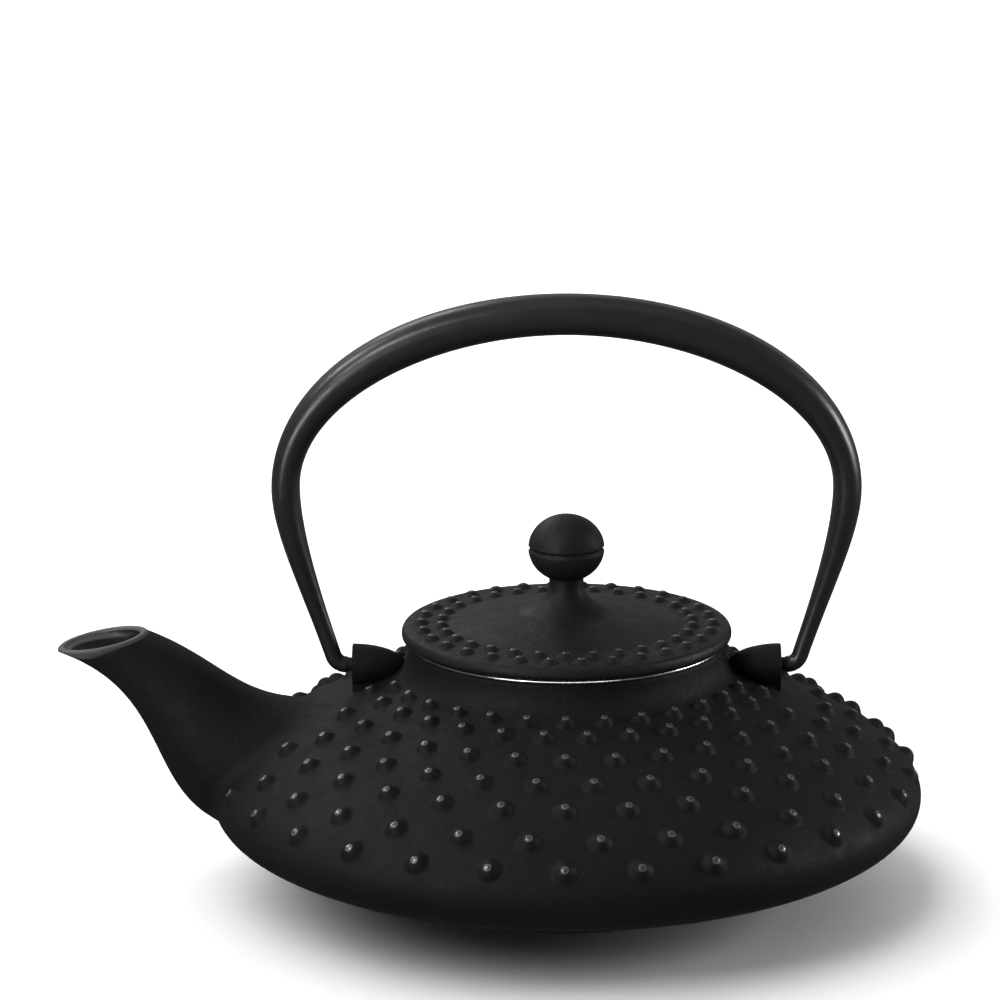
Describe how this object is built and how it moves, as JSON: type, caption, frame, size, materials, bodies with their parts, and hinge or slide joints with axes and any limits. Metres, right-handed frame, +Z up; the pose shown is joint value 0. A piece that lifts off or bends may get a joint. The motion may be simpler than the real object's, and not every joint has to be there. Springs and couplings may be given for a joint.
{
  "type": "cast iron teapot",
  "caption": "Low round iron teapot with raised bumps, a short curved spout, a fold-down bail handle, a lid with a ball knob and a lift-out steel strainer.",
  "frame": {"origin": "centre of the foot ring, on the plane the teapot rests on", "axes": "+Z up through the knob; the spout points to -X; the handle's hinge line lies along X"},
  "size_m": [0.214, 0.176, 0.1494],
  "materials": {
    "iron": "fine cast texture, matt black with a soft sheen",
    "handle_iron": "smooth satin black",
    "steel": "bright pressed sheet",
    "mesh": "fine woven mesh"
  },
  "bodies": {
    "teapot": {"body": "iron"},
    "handle": {"handle": "handle_iron"},
    "strainer": {"strainer_rim": "steel", "strainer_wall": "mesh", "strainer_ring": "steel", "strainer_floor": "mesh"},
    "lid": {"lid": "iron", "knob": "handle_iron", "knob_washer": "steel", "knob_screw": "steel"}
  },
  "joints": [
    {"name": "handle_fold", "type": "hinge", "parent": "teapot", "child": "handle", "pos_m": [0, 0, 0.056], "axis": [1, 0, 0], "range_deg": [-99.5, 99.5]},
    {"name": "strainer_lift", "type": "slide", "parent": "teapot", "child": "strainer", "axis": [0, 0, 1], "range_m": [0, 0.043]},
    {"name": "lid_lift", "type": "slide", "parent": "strainer", "child": "lid", "axis": [0, 0, 1], "range_m": [0, 0.04]}
  ]
}
